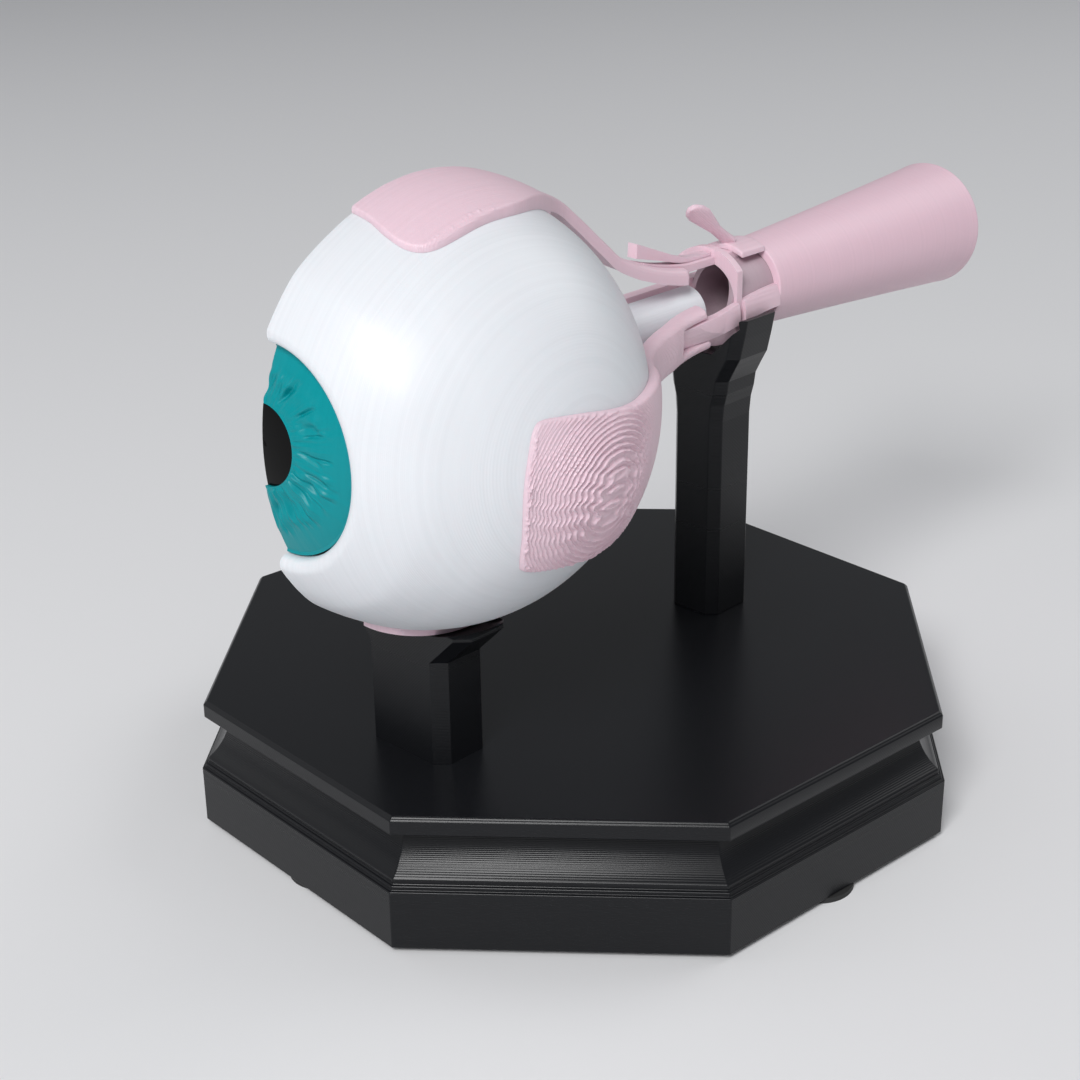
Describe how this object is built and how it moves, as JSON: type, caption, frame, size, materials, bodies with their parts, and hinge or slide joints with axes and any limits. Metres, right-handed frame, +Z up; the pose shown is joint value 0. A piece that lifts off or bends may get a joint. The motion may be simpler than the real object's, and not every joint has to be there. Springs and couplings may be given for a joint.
{
  "type": "eye anatomy section model on a stand",
  "caption": "Printed half-section model of an eye with iris, lens, filling, eye muscles and a rear cone, held on a two-post octagonal display stand.",
  "frame": {"origin": "middle of the base's underside, on the surface the model stands on", "axes": "+Z up, the eye looks towards -Y and the cone runs back along +Y, the open cut face looks to -X"},
  "size_m": [0.144, 0.1851, 0.1291],
  "materials": {
    "black_plastic": "satin printed plastic",
    "foot_rubber": "matt",
    "screw_steel": "plain",
    "white_plastic": "smooth printed plastic",
    "choroid_plastic": "printed plastic",
    "retina_plastic": "printed plastic",
    "pink_plastic": "printed plastic with layer steps",
    "sheath_plastic": "printed plastic",
    "teal_plastic": "satin, deep relief",
    "pupil_black": "glossy",
    "lens_clear": "clear cast resin",
    "vitreous_clear": "clear cast resin"
  },
  "bodies": {
    "stand": {"base_plinth": "black_plastic", "base_top": "black_plastic", "base_feet": "foot_rubber", "front_post": "black_plastic", "rear_post": "black_plastic", "post_screws": "screw_steel"},
    "eye": {"sclera": "white_plastic", "choroid": "choroid_plastic", "retina": "retina_plastic", "ciliary_body": "choroid_plastic", "superior_rectus": "pink_plastic", "lateral_rectus": "pink_plastic", "inferior_rectus": "pink_plastic", "optic_nerve": "white_plastic"},
    "iris_unit": {"iris": "teal_plastic", "pupil": "pupil_black"},
    "lens": {"lens": "lens_clear"},
    "vitreous": {"vitreous_body": "vitreous_clear"},
    "cone_unit": {"tendon_ring": "pink_plastic", "nerve_sheath": "sheath_plastic", "muscle_cone": "pink_plastic", "strap_tongues": "pink_plastic", "medial_rectus": "pink_plastic", "levator_strap": "pink_plastic", "superior_oblique_leaf": "pink_plastic"}
  },
  "joints": [
    {"name": "eye_lift", "type": "slide", "parent": "stand", "child": "eye", "axis": [0, 0, 1], "range_m": [0, 0.06]},
    {"name": "cone_pull", "type": "slide", "parent": "eye", "child": "cone_unit", "axis": [0, 1, 0], "range_m": [0, 0.012]},
    {"name": "iris_out", "type": "slide", "parent": "eye", "child": "iris_unit", "axis": [0, -0.9998, 0.0175], "range_m": [0, 0.04]},
    {"name": "lens_out", "type": "slide", "parent": "vitreous", "child": "lens", "axis": [-1, 0, 0], "range_m": [0, 0.04]},
    {"name": "vitreous_out", "type": "slide", "parent": "eye", "child": "vitreous", "axis": [-1, 0, 0], "range_m": [0, 0.06]}
  ]
}
